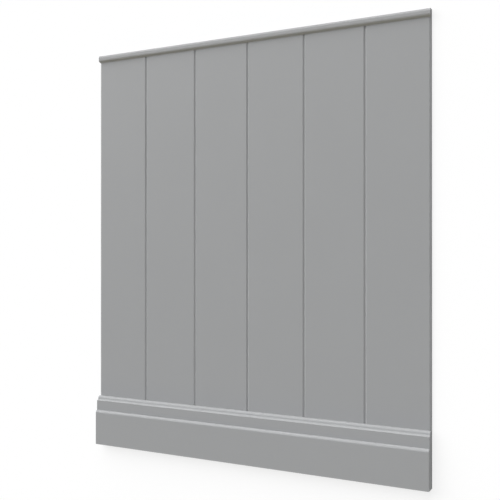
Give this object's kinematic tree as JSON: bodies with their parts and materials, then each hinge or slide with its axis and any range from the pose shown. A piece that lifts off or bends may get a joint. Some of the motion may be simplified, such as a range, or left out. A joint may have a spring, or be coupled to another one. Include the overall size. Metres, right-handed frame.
{
  "type": "wall panel",
  "caption": "Section of painted V-jointed wall panelling with a moulded skirting along its floor edge and a rounded, rebated capping along its top, lying on its back.",
  "frame": {"origin": "under the middle of the panel, on the plane of its back", "axes": "+X across the boards to the right, seen with the capping away from the viewer; +Y along the boards from the floor edge to the capping; +Z out of the painted face"},
  "size_m": [0.864, 1, 0.026],
  "materials": {
    "grey_paint": "satin"
  },
  "bodies": {
    "root": {"board_1": "grey_paint", "board_2": "grey_paint", "board_3": "grey_paint", "board_4": "grey_paint", "board_5": "grey_paint", "board_6": "grey_paint", "capping": "grey_paint", "skirting_board": "grey_paint"}
  },
  "joints": []
}
